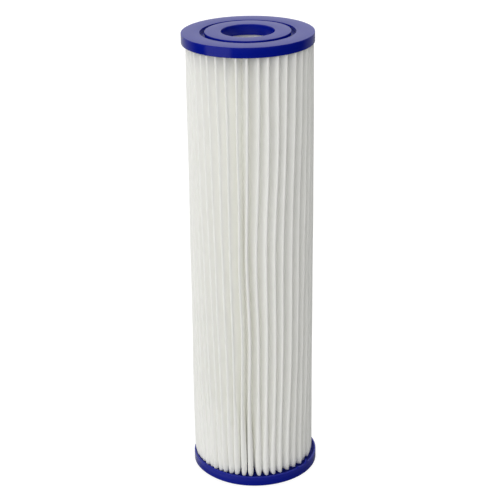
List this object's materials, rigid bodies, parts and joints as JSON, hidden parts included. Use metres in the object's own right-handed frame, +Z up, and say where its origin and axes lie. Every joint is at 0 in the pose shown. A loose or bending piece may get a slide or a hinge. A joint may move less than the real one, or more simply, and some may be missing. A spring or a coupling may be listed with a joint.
{
  "type": "pleated filter cartridge",
  "caption": "Cylindrical pleated water filter cartridge: white folded polyester media around a windowed core tube, sealed at each end by a soft blue cap with a central bore and a ring groove.",
  "frame": {"origin": "middle of the face that the cartridge stands on, on its axis", "axes": "+Z up along the cartridge's axis, from the bottom cap to the top cap; the sheet's seam lies towards +Y"},
  "size_m": [0.069, 0.069, 0.248],
  "materials": {
    "blue_vinyl": "satin",
    "polyester_media": "matte",
    "hot_melt": "satin",
    "white_polypropylene": "satin"
  },
  "bodies": {
    "root": {"top_end_cap": "blue_vinyl", "bottom_end_cap": "blue_vinyl", "pleated_media": "polyester_media", "seam_bead": "hot_melt", "core_tube": "white_polypropylene"}
  },
  "joints": []
}
